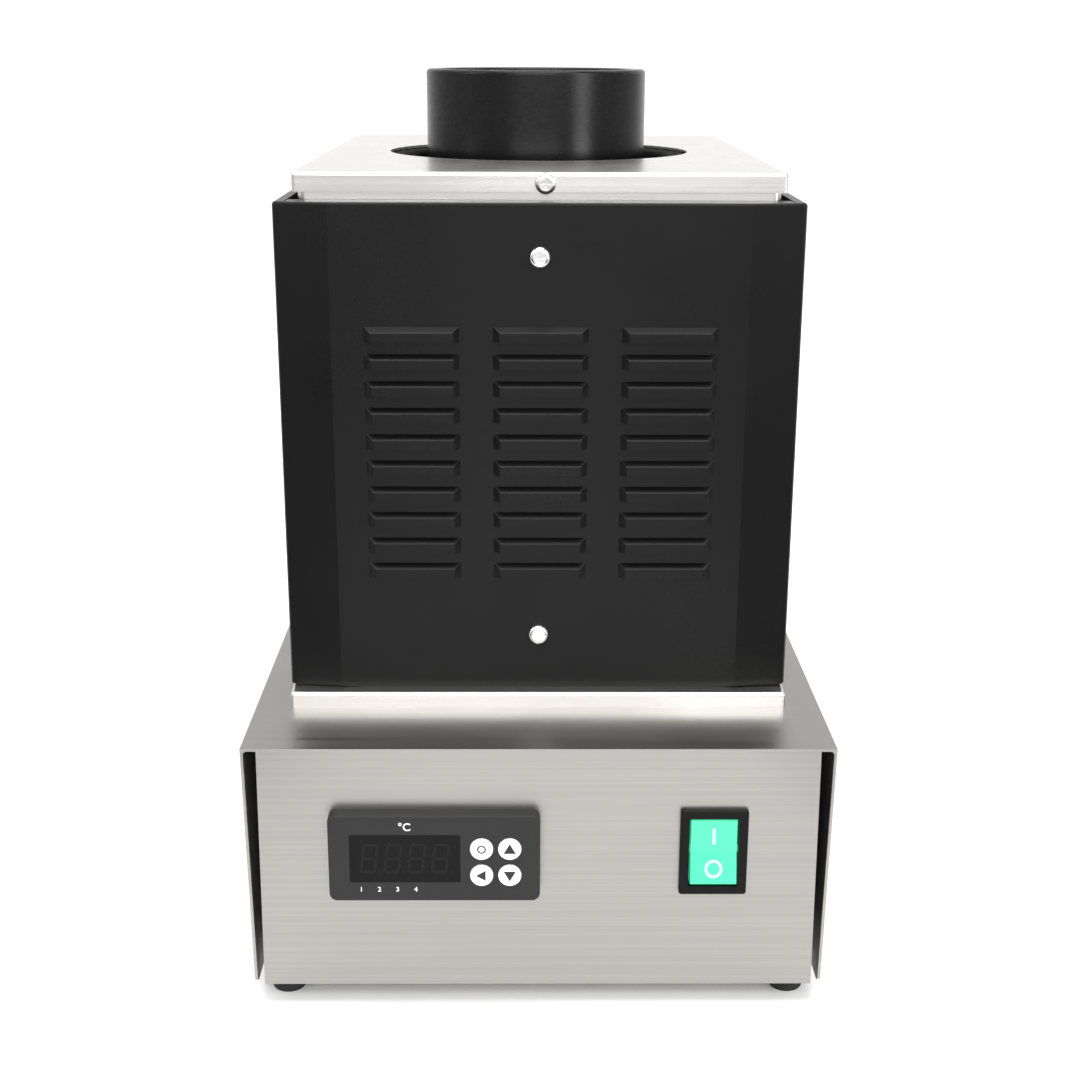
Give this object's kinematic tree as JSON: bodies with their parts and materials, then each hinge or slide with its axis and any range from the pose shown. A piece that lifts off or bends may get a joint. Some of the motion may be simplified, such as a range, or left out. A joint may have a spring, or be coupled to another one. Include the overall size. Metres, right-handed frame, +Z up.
{
  "type": "crucible furnace",
  "caption": "Benchtop electric crucible furnace: a steel base with temperature controller and rocker switch under a louvred heat-shielded chamber that holds a lift-out graphite crucible.",
  "frame": {"origin": "centre of the footprint, on the surface the rubber feet stand on", "axes": "+Z up, the control panel faces -Y, +X to the right of somebody facing the panel"},
  "size_m": [0.214, 0.3194, 0.332],
  "materials": {
    "brushed_stainless": "brushed",
    "polished_stainless": "satin",
    "screw_steel": "polished",
    "foot_rubber": "matte",
    "controller_plastic": "matte",
    "dark_plastic": "matte",
    "smoked_window": "satin",
    "board": "satin",
    "key_white": "satin",
    "switch_black": "satin",
    "rocker_green": "gloss",
    "terminal_brass": "satin",
    "heat_sink": "satin",
    "relay_body": "matte",
    "porcelain": "glazed",
    "fibre_board": "matte",
    "dark_refractory": "matte",
    "heater_wire": "oxidised",
    "lead_insulation": "matte",
    "refractory": "matte",
    "graphite": "satin",
    "black_paint": "satin"
  },
  "bodies": {
    "housing": {"base_cover": "brushed_stainless", "base_tray": "brushed_stainless", "body_bolts": "screw_steel", "bottom_plate": "polished_stainless", "chamber_floor": "refractory", "coil_tails": "heater_wire", "control_board": "board", "control_leads": "lead_insulation", "controller_bezel": "controller_plastic", "controller_case": "controller_plastic", "controller_clamps": "controller_plastic", "controller_terminals": "dark_plastic", "cover_screws": "screw_steel", "display_module": "dark_plastic", "display_window": "smoked_window", "earth_lead": "lead_insulation", "earth_stud": "screw_steel", "fibre_lining": "fibre_board", "floor_board": "fibre_board", "foot_screws": "screw_steel", "front_shield": "black_paint", "heating_coil": "heater_wire", "hex_nuts": "screw_steel", "inlet_pins": "terminal_brass", "inlet_screws": "screw_steel", "inner_case": "polished_stainless", "key_contacts": "dark_plastic", "lead_bushings": "porcelain", "left_shield": "black_paint", "muffle_tube": "dark_refractory", "power_inlet": "dark_plastic", "power_leads": "lead_insulation", "rear_shield": "black_paint", "relay_heat_sink": "heat_sink", "relay_mount_screws": "screw_steel", "relay_terminal_screws": "screw_steel", "right_shield": "black_paint", "rubber_feet": "foot_rubber", "shield_screws": "screw_steel", "shield_spacers": "screw_steel", "solid_state_relay": "relay_body", "switch_contacts": "terminal_brass", "switch_housing": "switch_black", "switch_terminals": "terminal_brass", "tail_bushings": "porcelain", "tail_connectors": "terminal_brass", "terminal_block": "porcelain", "terminal_inserts": "terminal_brass", "thermocouple": "screw_steel", "thermocouple_lead": "lead_insulation", "top_board": "fibre_board", "top_plate": "polished_stainless", "top_plate_screws": "screw_steel"},
    "rocker": {"rocker": "rocker_green"},
    "set_key": {"set_key": "key_white"},
    "shift_key": {"shift_key": "key_white"},
    "up_key": {"up_key": "key_white"},
    "down_key": {"down_key": "key_white"},
    "crucible": {"crucible": "graphite"}
  },
  "joints": [
    {"name": "rocker_tilt", "type": "hinge", "parent": "housing", "child": "rocker", "pos_m": [0.0632, -0.15145, 0.0628], "axis": [1, 0, 0], "range_deg": [0, 14]},
    {"name": "set_key_press", "type": "slide", "parent": "housing", "child": "set_key", "axis": [0, 1, 0], "range_m": [0, 0.0005], "stiffness_N_per_m": 800},
    {"name": "shift_key_press", "type": "slide", "parent": "housing", "child": "shift_key", "axis": [0, 1, 0], "range_m": [0, 0.0005], "stiffness_N_per_m": 800},
    {"name": "up_key_press", "type": "slide", "parent": "housing", "child": "up_key", "axis": [0, 1, 0], "range_m": [0, 0.0005], "stiffness_N_per_m": 800},
    {"name": "down_key_press", "type": "slide", "parent": "housing", "child": "down_key", "axis": [0, 1, 0], "range_m": [0, 0.0005], "stiffness_N_per_m": 800},
    {"name": "crucible_lift", "type": "slide", "parent": "housing", "child": "crucible", "axis": [0, 0, 1], "range_m": [0, 0.15]}
  ]
}
